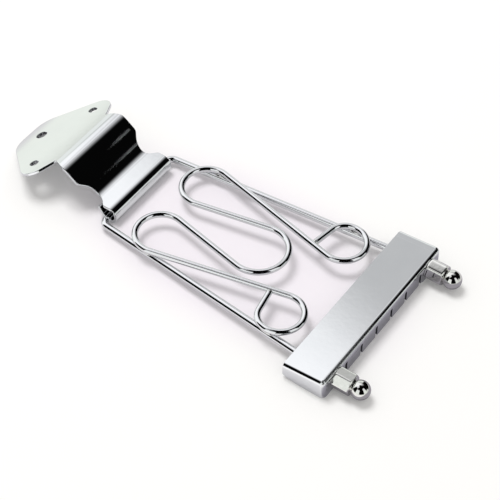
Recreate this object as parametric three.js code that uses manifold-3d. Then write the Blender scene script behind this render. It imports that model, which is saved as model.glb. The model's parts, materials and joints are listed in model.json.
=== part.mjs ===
// Trapeze tailpiece of a six-string archtop guitar, lying on its plate's edge and its crossbar.
// Millimetres, +Z up. X runs from the mounting plate to the string side and Y from the near leg to the far leg.
import * as THREE from "three";
import { mergeVertices } from "three/addons/utils/BufferGeometryUtils.js";
import Module from "manifold-3d";

const wasm = await Module();
wasm.setup();

// Driving dimensions, with lengths along X taken from the hinge axis
const stringPitch = 10.4; // distance between two strings
const stringCount = 6;
const slotToLeg = 6.5; // last slot to the middle of the leg that passes through the crossbar
const legToCoverEnd = 8.6; // from there to the crossbar's end
const legHingeY = 22.46; // leg's middle carried on to the hinge axis
const plateReach = 57.7; // outer edge of the mounting plate, on the other side of the hinge
const coverStringX = 119.7; // outer face of the slotted flange
const coverDepth = 18.65; // crossbar from its open side to the slotted flange
const coverOpenZ = 7.6; // top of the crossbar at its open side
const coverStringZ = 9.25; // top of the crossbar at the slotted flange, before the fold
const nutZ = 5.05; // middle of the cap nuts above the table

// Sheet and wire
const bracketSheet = 1.3;
const coverSheet = 1.1;
const frameWireR = 1.5;
const scrollWireR = 1.3;

// Clearances
const hingeClearance = 0.1; // rod to rolled edge, where they are closest
const boreClearance = 0.1; // leg to nut
const holeClearance = 0.15; // leg to the hole in the flange
const seatGap = 0.05; // nut to flange
const wireGap = 0.25; // scroll wire to the leg below it
const brazeGap = 0.03; // filler metal to wire
const overrun = 5; // how far a cutting shape runs past what it cuts

// Wire frame, with its places along the leg taken from the slotted flange
const cornerR = 3.2; // bend between the hinge rod and a leg
const tipBendR = 14; // bend where a leg turns parallel to the other
const tipBendToFlange = 11.2;
const levelToFlange = 5.6; // where the leg starts to run level through its nuts
const legPastFlange = 5.7;

// Scroll wire
const uR = 12;
const uToSmallLoop = 25.6;
const bigLoopX = 24.2;
const bigLoopR = 10.2;
const bigLoopPast = 0.907; // loop's outermost point past the middle of the leg
const smallLoopR = 9.3;
const smallLoopPast = 0.527;
const smallLoopToCover = 5.15; // wire's middle to the crossbar's open side
const smallLoopTightR = 7.6; // the loop's last stretch, before its cut end
const smallLoopTightFrom = 100; // degrees round the loop where that stretch starts
const wireEndHeading = 260; // degrees, the way the cut end points
const wireEndGap = 0.4; // cut end to the straight run that it meets

// Hinge bracket, side view
const plateSlope = 28.2; // degrees
const shoulderX = 22.86; // behind the hinge axis
const shoulderR = 6.5;
const valleyX = 7.8;
const valleyR = 7;
const rollRise = 1.2; // roll's middle above the middle of the rod, which lies loosely in it
const tailX = 5.2; // end of the rolled-in edge
const tailGap = 0.6; // rolled-in edge to the flat band above it

// Hinge bracket, outline of the plate in its own plane
const noseHalf = 9.4;
const noseR = 11;
const tipHalf = 29.8;
const tipR = 7;
const throatToShoulder = 2.8; // the throat's side in from the shoulder's
const pinHoleR = 2.25;
const screwHoleToTip = 10.9;
const screwHoleR = 1.75;

// How far up the plate each of these lies, from its outer edge to the shoulder
const pinHoleShare = 0.215;
const screwHoleShare = 0.582;
const tipShare = 0.663;
const throatShare = 0.85;

// Hinge bracket, outline of the arm seen from above
const barrelToLeg = 4.2; // rolled edge's end to the middle of the leg
const shoulderPastBarrel = 0.7;
const shoulderFrontBack = 0.96; // shoulder's front corner from the line of its bend
const shoulderFrontR = 4;
const waistStartX = 14.9;
const waistX = 8.6;
const waistEndX = 2.7;
const waistDepth = 6.7; // rolled edge's end to where the sides of the notch would meet
const waistR = 5.8;
const waistCornerR = 2;

// Crossbar
const foldR = 2; // outside radius of the folds
const footRise = 1.4; // end flange clear of the table at the open side
const footRun = 6; // length of that rise
const archPastSlot = 3; // raised lower edge of the slotted flange, past the last slot
const archRise = 0.9;
const slotWidth = 1.4;
const slotTopZ = 6.7;

// Nuts
const nutFlats = 8; // across the flats
const nutLength = 7.4;
const nutChamfer = 0.5;
const ballR = 3.9;
const ballStand = 3.05; // middle of the ball tip past the hexagon
const nearNutTurn = -9; // degrees
const farNutTurn = 13;
const backNutFlats = 4.6;
const backNutLength = 2.2;
const backNutChamfer = 0.25;

// Filler metal
const brazeLength = 6.4;
const brazeWidth = 2.7;
const brazeHeight = 1.9;
const wireEndBrazeR = 1.5;

// Facets
const wireSegments = 7; // half the sides of a round wire
const arcStep = 11; // degrees of bend in one step
const roundSegments = 28;
const outlineSegments = 10;
const ballRings = 14;
const brazeSegments = 14;
const brazeRings = 8;
const mergeTolerance = 1e-5;

// Places that follow from the driving dimensions
const hingeZ = frameWireR + hingeClearance + bracketSheet;
const rollR = frameWireR + hingeClearance + rollRise + bracketSheet / 2; // to the middle of the sheet
const rollZ = hingeZ + rollRise;
const bandZ = rollZ + rollR;
const lastSlotY = (stringPitch * (stringCount - 1)) / 2;
const legTipY = lastSlotY + slotToLeg;
const coverHalf = legTipY + legToCoverEnd;
const coverOpenX = coverStringX - coverDepth;
const tipBendX = coverStringX - tipBendToFlange;
const levelX = coverStringX - levelToFlange;
const legEndX = coverStringX + legPastFlange;
const ballX = coverStringX + seatGap + nutLength + ballStand;
const legSlope = (legTipY - legHingeY) / tipBendX;
const legY = (x) => legHingeY + legSlope * x;
const smallLoopX = coverOpenX - smallLoopToCover - smallLoopR;
const smallLoopY = legY(smallLoopX) + smallLoopPast - smallLoopR;
const bigLoopY = legY(bigLoopX) + bigLoopPast - bigLoopR;
const uX = smallLoopX - uToSmallLoop;
const barrelHalf = legHingeY - barrelToLeg;
const shoulderHalf = barrelHalf + shoulderPastBarrel;

const radians = THREE.MathUtils.degToRad;
const mirrored = (points) => points.map(([x, y, r]) => [x, -y, r]).reverse();

// Directions of an extruded outline: across (side view), along (end view), and square to the plate
const acrossBasis = new THREE.Matrix4().makeBasis(
  new THREE.Vector3(1, 0, 0),
  new THREE.Vector3(0, 0, 1),
  new THREE.Vector3(0, -1, 0),
);
const alongBasis = new THREE.Matrix4().makeBasis(
  new THREE.Vector3(0, 1, 0),
  new THREE.Vector3(0, 0, 1),
  new THREE.Vector3(1, 0, 0),
);
const latheBasis = new THREE.Matrix4().makeBasis(
  new THREE.Vector3(0, 1, 0),
  new THREE.Vector3(1, 0, 0),
  new THREE.Vector3(0, 0, -1),
);

function solidOf(geometry) {
  const plain = geometry.clone();
  plain.deleteAttribute("normal");
  plain.deleteAttribute("uv");
  const merged = mergeVertices(plain, mergeTolerance);
  return new wasm.Manifold(
    new wasm.Mesh({
      numProp: 3,
      vertProperties: Float32Array.from(merged.attributes.position.array),
      triVerts: Uint32Array.from(merged.index.array),
    }),
  );
}

function geometryOf(solid) {
  const mesh = solid.getMesh();
  const geometry = new THREE.BufferGeometry();
  geometry.setAttribute("position", new THREE.BufferAttribute(mesh.vertProperties, 3));
  geometry.setIndex(new THREE.BufferAttribute(mesh.triVerts, 1));
  return geometry;
}

// A closed outline through corner points [x, y, radius], with a true arc at each rounded corner
function roundedShape(corners) {
  const shape = new THREE.Shape();
  const count = corners.length;
  corners.forEach(([x, y, radius], i) => {
    const corner = new THREE.Vector2(x, y);
    const before = corners[(i + count - 1) % count];
    const after = corners[(i + 1) % count];
    const back = new THREE.Vector2(before[0], before[1]).sub(corner).normalize();
    const ahead = new THREE.Vector2(after[0], after[1]).sub(corner).normalize();
    if (!radius) {
      if (i === 0) shape.moveTo(x, y);
      else shape.lineTo(x, y);
      return;
    }
    const half = Math.acos(THREE.MathUtils.clamp(back.dot(ahead), -1, 1)) / 2;
    const reach = radius / Math.tan(half);
    const start = corner.clone().addScaledVector(back, reach);
    const end = corner.clone().addScaledVector(ahead, reach);
    const inward = back.clone().add(ahead).normalize();
    const centre = corner.clone().addScaledVector(inward, radius / Math.sin(half));
    const startAngle = start.clone().sub(centre).angle();
    const endAngle = end.clone().sub(centre).angle();
    if (i === 0) shape.moveTo(start.x, start.y);
    else shape.lineTo(start.x, start.y);
    shape.absarc(centre.x, centre.y, radius, startAngle, endAngle, back.cross(ahead) > 0);
  });
  shape.closePath();
  return shape;
}

// An outline extruded to both sides of its plane, turned by basis and moved to place
function prism(shape, depth, basis, place) {
  const geometry = new THREE.ExtrudeGeometry(shape, {
    depth,
    bevelEnabled: false,
    curveSegments: outlineSegments,
  });
  geometry.translate(0, 0, -depth / 2);
  geometry.applyMatrix4(basis);
  geometry.translate(place.x, place.y, place.z);
  return solidOf(geometry);
}

// Draws straight and round stretches one after the other, as a wire or a sheet is bent
class Bender {
  constructor(x, y, heading) {
    this.at = new THREE.Vector2(x, y);
    this.heading = heading;
    this.pieces = [];
  }

  straight(length) {
    const end = this.at.clone();
    end.x += length * Math.cos(this.heading);
    end.y += length * Math.sin(this.heading);
    this.pieces.push({ curve: new THREE.LineCurve(this.at, end), steps: 1 });
    this.at = end;
    return this;
  }

  // A positive turn goes to the left
  turn(radius, angle) {
    const side = Math.sign(angle);
    const toCentre = this.heading + (side * Math.PI) / 2;
    const centreX = this.at.x + radius * Math.cos(toCentre);
    const centreY = this.at.y + radius * Math.sin(toCentre);
    const start = toCentre + Math.PI;
    const end = start + angle;
    const curve = new THREE.EllipseCurve(centreX, centreY, radius, radius, start, end, side < 0);
    const steps = Math.max(1, Math.round(Math.abs(angle) / radians(arcStep)));
    this.pieces.push({ curve, steps });
    this.at = curve.getPoint(1);
    this.heading += angle;
    return this;
  }
}

// The middle line of a mirror-symmetric wire. Its far half is a chain of flat pieces that start on the
// middle plane, and heightAt lifts each point. Each piece has its own number of steps.
class WirePath extends THREE.Curve {
  constructor(pieces, heightAt) {
    super();
    this.chain = pieces;
    this.heightAt = heightAt;
    this.halfSteps = pieces.reduce((sum, piece) => sum + piece.steps, 0);
  }

  halfPoint(share) {
    let steps = share * this.halfSteps;
    let index = 0;
    while (index < this.chain.length - 1 && steps > this.chain[index].steps) {
      steps -= this.chain[index].steps;
      index += 1;
    }
    const piece = this.chain[index];
    const flat = piece.curve.getPoint(Math.min(1, steps / piece.steps));
    const slope = piece.curve.getTangent(Math.min(1, steps / piece.steps));
    return { flat, slope };
  }

  getPointAt(u) {
    const side = Math.sign(2 * u - 1) || 1;
    const { flat } = this.halfPoint(Math.abs(2 * u - 1));
    return new THREE.Vector3(flat.x, side * flat.y, this.heightAt(flat.x));
  }

  getPoint(u) {
    return this.getPointAt(u);
  }

  getTangentAt(u) {
    const side = Math.sign(2 * u - 1) || 1;
    const { slope } = this.halfPoint(Math.abs(2 * u - 1));
    return new THREE.Vector3(side * slope.x, slope.y, 0).normalize();
  }
}

// A round wire along a path
function wireGeometry(path, radius) {
  const section = new THREE.Shape().absarc(0, 0, radius, 0, 2 * Math.PI);
  return new THREE.ExtrudeGeometry(section, {
    steps: 2 * path.halfSteps,
    extrudePath: path,
    curveSegments: wireSegments,
  });
}

// Outer frame: hinge rod, two spreading legs and their level threaded ends
const legAngle = Math.atan2(legTipY - legHingeY, tipBendX);
const legTurn = Math.PI / 2 - legAngle;
const cornerReach = cornerR * Math.tan(legTurn / 2);
const tipReach = tipBendR * Math.tan(legAngle / 2);
const legLength = Math.hypot(tipBendX, legTipY - legHingeY);

function legHeight(x) {
  return hingeZ + ((nutZ - hingeZ) * THREE.MathUtils.clamp(x, 0, levelX)) / levelX;
}

function framePath() {
  const bender = new Bender(0, 0, Math.PI / 2);
  bender.straight(legHingeY - cornerReach);
  bender.turn(cornerR, -legTurn);
  bender.straight(legLength - cornerReach - tipReach);
  bender.turn(tipBendR, -legAngle);
  bender.straight(levelX - bender.at.x);
  bender.straight(legEndX - levelX);
  return new WirePath(bender.pieces, legHeight);
}

// Scroll wire: U, big loops round by the hinge, and small loops that close on the wire's own straight run
const scrollLift = frameWireR + scrollWireR + wireGap;
const scrollHeight = (x) => legHeight(x) + scrollLift;

// Heading and length of the straight that leaves one circle and meets the next on its other side
function crossingTangent(fromX, fromY, toX, toY, radii, side) {
  const distance = Math.hypot(toX - fromX, toY - fromY);
  const length = Math.sqrt(distance ** 2 - radii ** 2);
  const heading = Math.atan2(toY - fromY, toX - fromX) + side * Math.atan2(radii, length);
  return { heading, length };
}

const innerRun = crossingTangent(uX, 0, bigLoopX, bigLoopY, uR + bigLoopR, 1);
const outerRun = crossingTangent(bigLoopX, bigLoopY, smallLoopX, smallLoopY, bigLoopR + smallLoopR, -1);

function scrollPath() {
  const bender = new Bender(uX + uR, 0, Math.PI / 2);
  bender.turn(uR, innerRun.heading - bender.heading);
  bender.straight(innerRun.length);
  bender.turn(bigLoopR, outerRun.heading - bender.heading);
  const runStart = bender.at.clone();
  bender.straight(outerRun.length);
  bender.turn(smallLoopR, radians(smallLoopTightFrom) + Math.PI / 2 - bender.heading);
  bender.turn(smallLoopTightR, radians(wireEndHeading) - bender.heading);
  // Distance from the cut end, along its heading, to the middle of the straight run
  const across = new THREE.Vector2(-Math.sin(outerRun.heading), Math.cos(outerRun.heading));
  const height = bender.at.clone().sub(runStart).dot(across);
  const closing = -Math.sin(bender.heading - outerRun.heading);
  bender.straight(height / closing - scrollWireR - wireEndGap);
  return { path: new WirePath(bender.pieces, scrollHeight), end: bender.at, heading: bender.heading };
}

// Middle line of the bracket's sheet, from the plate's outer edge to the end of the rolled-in edge
function bracketLine() {
  const slope = radians(plateSlope);
  const startX = -plateReach + (bracketSheet / 2) * Math.sin(slope);
  const startZ = (bracketSheet / 2) * Math.cos(slope);
  const shoulderZ = startZ + (startX + shoulderX) * -Math.tan(slope);
  const fall = Math.atan2(shoulderZ - bandZ, shoulderX - valleyX);
  const tailZ = bandZ - bracketSheet - tailGap;
  const tailToMiddle = Math.hypot(tailX, tailZ - rollZ);
  const tailHeading = Math.atan2(tailZ - rollZ, -tailX) - Math.asin(rollR / tailToMiddle);
  const shoulderReach = shoulderR * Math.tan((slope + fall) / 2);
  const valleyReach = valleyR * Math.tan(fall / 2);
  const bender = new Bender(startX, startZ, slope);
  bender.straight(Math.hypot(startX + shoulderX, shoulderZ - startZ) - shoulderReach);
  bender.turn(shoulderR, -(slope + fall));
  bender.straight(Math.hypot(shoulderX - valleyX, shoulderZ - bandZ) - shoulderReach - valleyReach);
  bender.turn(valleyR, fall);
  bender.straight(valleyX - valleyReach);
  bender.turn(rollR, -(2 * Math.PI - tailHeading));
  bender.straight(Math.sqrt(tailToMiddle ** 2 - rollR ** 2));
  return bender.pieces;
}

// Section of a bent sheet: the two sides of its middle line
function sheetSection(pieces, thickness) {
  const upper = [];
  const lower = [];
  pieces.forEach(({ curve, steps }, index) => {
    const first = index === 0 ? 0 : 1;
    for (let step = first; step <= steps; step += 1) {
      const point = curve.getPoint(step / steps);
      const tangent = curve.getTangent(step / steps);
      const normal = new THREE.Vector2(-tangent.y, tangent.x);
      upper.push(point.clone().addScaledVector(normal, thickness / 2));
      lower.push(point.clone().addScaledVector(normal, -thickness / 2));
    }
  });
  return new THREE.Shape([...lower, ...upper.reverse()]);
}

function bracketSolid() {
  const slope = radians(plateSlope);
  const origin = new THREE.Vector3(0, 0, 0);
  const uphill = new THREE.Vector3(Math.cos(slope), 0, Math.sin(slope));
  const square = new THREE.Vector3(-Math.sin(slope), 0, Math.cos(slope));
  const plateBasis = new THREE.Matrix4().makeBasis(uphill, new THREE.Vector3(0, 1, 0), square);
  const plateEdge = new THREE.Vector3(-plateReach + (bracketSheet / 2) * Math.sin(slope), 0, 0);
  plateEdge.z = (bracketSheet / 2) * Math.cos(slope);
  const plateLength = (plateReach - shoulderX) / Math.cos(slope);
  const throatS = throatShare * plateLength;
  const throatHalf = shoulderHalf - throatToShoulder;
  const frontX = -shoulderX + shoulderFrontBack;
  const screwHoleS = screwHoleShare * plateLength;
  const screwHoleY = tipHalf - screwHoleToTip;
  const sheet = prism(
    sheetSection(bracketLine(), bracketSheet),
    2 * (tipHalf + overrun),
    acrossBasis,
    origin,
  );
  const plateFar = [
    [0, noseHalf, noseR],
    [tipShare * plateLength, tipHalf, tipR],
    [throatS, throatHalf, 0],
    [throatS + overrun, throatHalf, 0],
  ];
  const plateOutline = roundedShape([...mirrored(plateFar), ...plateFar]);
  const armFar = [
    [-plateReach + throatS * Math.cos(slope), throatHalf, 0],
    [frontX, shoulderHalf, shoulderFrontR],
    [-waistStartX, shoulderHalf, waistCornerR],
    [-waistX, barrelHalf - waistDepth, waistR],
    [-waistEndX, barrelHalf, waistCornerR],
    [rollR + overrun, barrelHalf, 0],
  ];
  const armOutline = roundedShape([...mirrored(armFar), ...armFar]);
  const tall = 2 * plateReach;
  let solid = sheet.intersect(
    prism(plateOutline, bracketSheet + overrun, plateBasis, plateEdge).add(
      prism(armOutline, tall, new THREE.Matrix4(), origin),
    ),
  );
  const holes = [
    [pinHoleShare * plateLength, 0, pinHoleR],
    [screwHoleS, screwHoleY, screwHoleR],
    [screwHoleS, -screwHoleY, screwHoleR],
  ];
  for (const [s, y, radius] of holes) {
    const round = new THREE.Shape().absarc(s, y, radius, 0, 2 * Math.PI);
    solid = solid.subtract(prism(round, bracketSheet + overrun, plateBasis, plateEdge));
  }
  return solid;
}

// Crossbar: a sloping wedge with rounded folds, hollow from below and open towards the hinge
function coverTop(x) {
  return coverOpenZ + ((coverStringZ - coverOpenZ) * (x - coverOpenX)) / coverDepth;
}

function wedge(inset) {
  const open = coverOpenX - (inset ? overrun : 0);
  const face = coverStringX - inset;
  const half = coverHalf - inset;
  const round = foldR - inset;
  const floor = inset ? -overrun : 0;
  const tall = coverStringZ + 2 * overrun;
  const rise = inset ? 0 : footRise;
  const run = inset ? foldR : footRun;
  const slope = (coverStringZ - coverOpenZ) / coverDepth;
  const lean = new THREE.Matrix4().makeShear(0, slope, 0, 0, 0, 0);
  const section = roundedShape([
    [-half, -tall, 0],
    [half, -tall, 0],
    [half, 0, round],
    [-half, 0, round],
  ]);
  const sloped = new THREE.ExtrudeGeometry(section, {
    depth: face - open,
    bevelEnabled: false,
    curveSegments: outlineSegments,
  });
  sloped.applyMatrix4(alongBasis);
  sloped.applyMatrix4(lean);
  sloped.translate(open, 0, coverTop(open) - inset);
  const side = roundedShape([
    [open, floor + rise, 0],
    [open + run, floor, 0],
    [face, floor, 0],
    [face, coverTop(face) - inset, round],
    [open, coverTop(open) - inset, 0],
  ]);
  const plan = roundedShape([
    [open, -half, 0],
    [face, -half, round],
    [face, half, round],
    [open, half, 0],
  ]);
  return solidOf(sloped)
    .intersect(prism(side, 2 * (half + overrun), acrossBasis, new THREE.Vector3()))
    .intersect(prism(plan, 2 * tall, new THREE.Matrix4(), new THREE.Vector3()));
}

function coverSolid() {
  let solid = wedge(0).subtract(wedge(coverSheet));
  const flange = new THREE.Vector3(coverStringX, 0, 0);
  const archHalf = lastSlotY + archPastSlot;
  const arch = roundedShape([
    [-archHalf, -overrun, 0],
    [archHalf, -overrun, 0],
    [archHalf - archRise, archRise, archRise],
    [-archHalf + archRise, archRise, archRise],
  ]);
  solid = solid.subtract(prism(arch, 2 * foldR, alongBasis, flange));
  for (let i = 0; i < stringCount; i += 1) {
    const y = i * stringPitch - lastSlotY;
    const slot = new THREE.Shape();
    slot.moveTo(y - slotWidth / 2, -overrun);
    slot.lineTo(y + slotWidth / 2, -overrun);
    slot.absarc(y, slotTopZ - slotWidth / 2, slotWidth / 2, 0, Math.PI);
    slot.closePath();
    solid = solid.subtract(prism(slot, 2 * foldR, alongBasis, flange));
  }
  for (const side of [-1, 1]) {
    const hole = new THREE.Shape();
    hole.absarc(side * legTipY, nutZ, frameWireR + holeClearance, 0, 2 * Math.PI);
    solid = solid.subtract(prism(hole, 2 * foldR, alongBasis, flange));
  }
  return solid;
}

// A hexagon prism along X with its corners chamfered at both ends, starting at x = 0
function hexBody(flats, length, chamfer, turn) {
  const corner = flats / Math.sqrt(3);
  const outline = new THREE.Shape();
  for (let i = 0; i < 6; i += 1) {
    const angle = radians(turn) + (i * Math.PI) / 3;
    const y = corner * Math.cos(angle);
    const z = corner * Math.sin(angle);
    if (i === 0) outline.moveTo(y, z);
    else outline.lineTo(y, z);
  }
  outline.closePath();
  const hexagon = prism(outline, length, alongBasis, new THREE.Vector3(length / 2, 0, 0));
  const profile = [
    new THREE.Vector2(0, 0),
    new THREE.Vector2(flats / 2, 0),
    new THREE.Vector2(corner + chamfer, chamfer + (corner - flats / 2) / 2),
    new THREE.Vector2(corner + chamfer, length - chamfer - (corner - flats / 2) / 2),
    new THREE.Vector2(flats / 2, length),
    new THREE.Vector2(0, length),
  ];
  const turned = new THREE.LatheGeometry(profile, roundSegments);
  turned.applyMatrix4(latheBasis);
  return hexagon.intersect(solidOf(turned));
}

function boreSolid(from, to) {
  const bore = new THREE.Shape().absarc(0, 0, frameWireR + boreClearance, 0, 2 * Math.PI);
  return prism(bore, to - from, alongBasis, new THREE.Vector3((from + to) / 2, 0, 0));
}

function capNutSolid(turn) {
  const seatX = coverStringX + seatGap;
  const ball = new THREE.SphereGeometry(ballR, roundSegments, ballRings);
  ball.applyMatrix4(latheBasis);
  ball.translate(ballX - seatX, 0, 0);
  const blindEnd = legEndX - seatX + wireEndGap;
  return hexBody(nutFlats, nutLength, nutChamfer, turn)
    .add(solidOf(ball))
    .subtract(boreSolid(-overrun, blindEnd));
}

function backNutSolid(turn) {
  return hexBody(backNutFlats, backNutLength, backNutChamfer, turn)
    .subtract(boreSolid(-overrun, backNutLength + overrun));
}

// Filler metal: a small rounded lump with the wires' shapes taken out of it
function brazeSolid(length, width, height, place, cutters) {
  const lump = new THREE.SphereGeometry(1, brazeSegments, brazeRings);
  lump.scale(length / 2, width / 2, height / 2);
  lump.translate(place.x, place.y, place.z);
  return cutters.reduce((solid, cutter) => solid.subtract(cutter), solidOf(lump));
}

const chrome = { color: 0xd9dbe0, roughness: 0.08, metalness: 1 };
const filler = { color: 0xbfc0bd, roughness: 0.3, metalness: 1 };

const tailpiece = new THREE.Group();
// The origin lies on the table under the middle of the whole part
const middleX = (ballX + ballR - plateReach) / 2;

function addPiece(name, geometry, look, x = 0, y = 0, z = 0) {
  const mesh = new THREE.Mesh(geometry, new THREE.MeshStandardMaterial(look));
  mesh.name = name;
  mesh.position.set(x - middleX, y, z);
  tailpiece.add(mesh);
}

const frame = framePath();
const scroll = scrollPath();
addPiece("hinge_bracket", geometryOf(bracketSolid()), chrome);
addPiece("outer_frame", wireGeometry(frame, frameWireR), chrome);
addPiece("scroll_wire", wireGeometry(scroll.path, scrollWireR), chrome);
addPiece("crossbar_cover", geometryOf(coverSolid()), chrome);

const frameCutter = solidOf(wireGeometry(frame, frameWireR + brazeGap));
const scrollCutter = solidOf(wireGeometry(scroll.path, scrollWireR + brazeGap));
const cutters = [frameCutter, scrollCutter];
const sides = [
  { name: "near", side: -1, turn: nearNutTurn },
  { name: "far", side: 1, turn: farNutTurn },
];
for (const { name, side, turn } of sides) {
  const seatX = coverStringX + seatGap;
  const backX = coverStringX - coverSheet - seatGap - backNutLength;
  addPiece(`cap_nut_${name}`, geometryOf(capNutSolid(turn)), chrome, seatX, side * legTipY, nutZ);
  addPiece(`back_nut_${name}`, geometryOf(backNutSolid(0)), chrome, backX, side * legTipY, nutZ);
  const loops = [
    { loop: "big_loop", x: bigLoopX, past: bigLoopPast },
    { loop: "small_loop", x: smallLoopX, past: smallLoopPast },
  ];
  for (const { loop, x, past } of loops) {
    const place = new THREE.Vector3(x, side * (legY(x) + past / 2), 0);
    place.z = legHeight(x) + frameWireR + wireGap / 2;
    const solid = brazeSolid(brazeLength, brazeWidth, brazeHeight, place, cutters);
    addPiece(`braze_${loop}_${name}`, geometryOf(solid), filler);
  }
  const end = scroll.end.clone();
  end.x += (Math.cos(scroll.heading) * wireEndGap) / 2;
  end.y += (Math.sin(scroll.heading) * wireEndGap) / 2;
  const place = new THREE.Vector3(end.x, side * end.y, scrollHeight(end.x));
  const size = 2 * wireEndBrazeR;
  const solid = brazeSolid(size, size, size, place, [scrollCutter]);
  addPiece(`braze_wire_end_${name}`, geometryOf(solid), filler);
}

export default tailpiece;
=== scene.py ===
"""Looks of a chrome trapeze tailpiece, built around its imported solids.

Shapes are worked out in millimetres, with X from the hinge axis to the string side, Y from the near leg to
the far leg and Z up from the table. The function metres puts them in the row's frame.
"""
import json
import math

import bpy
import numpy as np
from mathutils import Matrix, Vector
from mathutils.geometry import delaunay_2d_cdt


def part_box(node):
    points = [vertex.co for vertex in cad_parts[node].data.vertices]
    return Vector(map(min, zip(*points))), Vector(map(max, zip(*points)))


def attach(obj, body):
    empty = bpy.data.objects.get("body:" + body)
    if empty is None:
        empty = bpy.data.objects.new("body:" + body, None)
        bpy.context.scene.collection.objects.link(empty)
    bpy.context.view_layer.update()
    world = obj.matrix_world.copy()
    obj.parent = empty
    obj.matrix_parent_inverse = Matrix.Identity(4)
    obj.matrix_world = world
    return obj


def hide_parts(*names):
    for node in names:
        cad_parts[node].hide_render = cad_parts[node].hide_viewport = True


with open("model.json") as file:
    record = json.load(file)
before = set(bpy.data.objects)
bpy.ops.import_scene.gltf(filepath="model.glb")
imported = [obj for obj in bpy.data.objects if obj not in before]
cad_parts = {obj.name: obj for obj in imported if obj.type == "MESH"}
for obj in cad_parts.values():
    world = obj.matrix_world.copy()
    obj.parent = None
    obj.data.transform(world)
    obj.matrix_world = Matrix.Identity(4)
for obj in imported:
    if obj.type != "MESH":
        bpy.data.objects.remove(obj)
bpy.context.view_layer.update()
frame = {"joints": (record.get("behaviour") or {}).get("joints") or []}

# Places that the frame gives, in millimetres, with X taken from the hinge axis
HINGE_POINT = frame["joints"][0]["pos_m"]
MIDDLE_X = -1000 * HINGE_POINT[0]
HINGE_Z = 1000 * HINGE_POINT[2]


def node_box(node):
    """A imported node's lowest and highest corners."""
    return [1000 * np.array(corner) + (MIDDLE_X, 0, 0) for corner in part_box(node)]


PLATE_REACH = -node_box("hinge_bracket")[0][0]
LEG_END_X = node_box("outer_frame")[1][0]
COVER_OPEN_X = node_box("crossbar_cover")[0][0]
COVER_FACE_X, COVER_HALF, _ = node_box("crossbar_cover")[1]

# Sheet, wire and clearances, in millimetres
SHEET = 1.3
COVER_SHEET = 1.1
FRAME_WIRE_R = 1.5
SCROLL_WIRE_R = 1.3
WIRE_GAP = 0.25
HINGE_CLEARANCE = 0.1
HOLE_CLEARANCE = 0.15
BORE_CLEARANCE = 0.06
SEAT_GAP = 0.05
BRACKET_EDGE_R = 0.28
COVER_EDGE_R = 0.16

# String slots, which every size across the object was taken from
SLOT_PITCH = 10.4
SLOT_Y = (np.arange(6) - 2.5) * SLOT_PITCH
SLOT_HALF = 0.7
SLOT_TOP_Z = 6.7

# Wire frame, with its places along the leg taken from the slotted flange
LEG_HINGE_Y = 22.46
LEG_TIP_Y = SLOT_Y[-1] + 6.5
LEG_CORNER_R = 3.2
TIP_BEND_R = 14.0
TIP_BEND_X = COVER_FACE_X - 11.2
LEVEL_X = COVER_FACE_X - 5.6
NUT_Z = 5.05
THREAD_START_X = TIP_BEND_X + 0.6
THREAD_PITCH = 0.5
THREAD_DEPTH = 0.24
LEG_CHAMFER = 0.45
LEG_SLOPE = (LEG_TIP_Y - LEG_HINGE_Y) / TIP_BEND_X


def leg_y(x):
    """Y of the far leg's straight middle line."""
    return LEG_HINGE_Y + LEG_SLOPE * x


# Scroll wire. A loop is its middle's X and Y, and its radius.
SCROLL_LIFT = FRAME_WIRE_R + SCROLL_WIRE_R + WIRE_GAP
BIG_LOOP_X, BIG_LOOP_R, BIG_LOOP_PAST = 24.2, 10.2, 0.907
SMALL_LOOP_R, SMALL_LOOP_PAST = 9.3, 0.527
SMALL_LOOP_X = COVER_OPEN_X - 5.15 - SMALL_LOOP_R
BIG_LOOP = (BIG_LOOP_X, leg_y(BIG_LOOP_X) + BIG_LOOP_PAST - BIG_LOOP_R, BIG_LOOP_R)
SMALL_LOOP = (SMALL_LOOP_X, leg_y(SMALL_LOOP_X) + SMALL_LOOP_PAST - SMALL_LOOP_R, SMALL_LOOP_R)
U_X, U_R = SMALL_LOOP_X - 25.6, 12.0
SMALL_LOOP_TIGHT_R = 7.6
SMALL_LOOP_TIGHT_FROM = 100.0
WIRE_END_HEADING = 260.0
WIRE_END_GAP = 0.4
WIRE_END_CHAMFER = 0.18

# Hinge bracket, side view
PLATE_SLOPE = 28.2
SHOULDER_X, SHOULDER_R = 22.86, 6.65
VALLEY_X, VALLEY_R = 7.8, 7.0
TAIL_X, TAIL_GAP = 5.2, 0.6
ROLL_RISE = 1.2
ROLL_R = FRAME_WIRE_R + HINGE_CLEARANCE + ROLL_RISE + SHEET / 2
ROLL_Z = HINGE_Z + ROLL_RISE
BAND_Z = ROLL_Z + ROLL_R

# Hinge bracket, outline. Lengths with an S run up the plate from its outer edge. A hole is its middle's S
# and Y, and its radius.
PLATE_LENGTH = (PLATE_REACH - SHOULDER_X) / math.cos(math.radians(PLATE_SLOPE))
NOSE_HALF, NOSE_R = 9.4, 11.0
TIP_S, TIP_HALF, TIP_R = 0.663 * PLATE_LENGTH, 29.8, 7.0
THROAT_S = 0.85 * PLATE_LENGTH
SCREW_S, SCREW_Y, SCREW_R = 0.582 * PLATE_LENGTH, TIP_HALF - 10.9, 1.75
PLATE_HOLES = (
    (0.215 * PLATE_LENGTH, 0.0, 2.25),
    (SCREW_S, -SCREW_Y, SCREW_R),
    (SCREW_S, SCREW_Y, SCREW_R),
)
BARREL_HALF = LEG_HINGE_Y - 4.2
SHOULDER_HALF = BARREL_HALF + 0.7
THROAT_HALF = SHOULDER_HALF - 2.8
SHOULDER_FRONT_X = -SHOULDER_X + 0.96
WAIST_START_X, WAIST_X, WAIST_END_X = -14.9, -8.6, -2.7
WAIST_HALF = BARREL_HALF - 6.7
SHOULDER_FRONT_R, WAIST_START_R, WAIST_R, WAIST_END_R = 4.0, 2.0, 5.8, 2.0
TAIL_CORNER_R = 0.7

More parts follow.
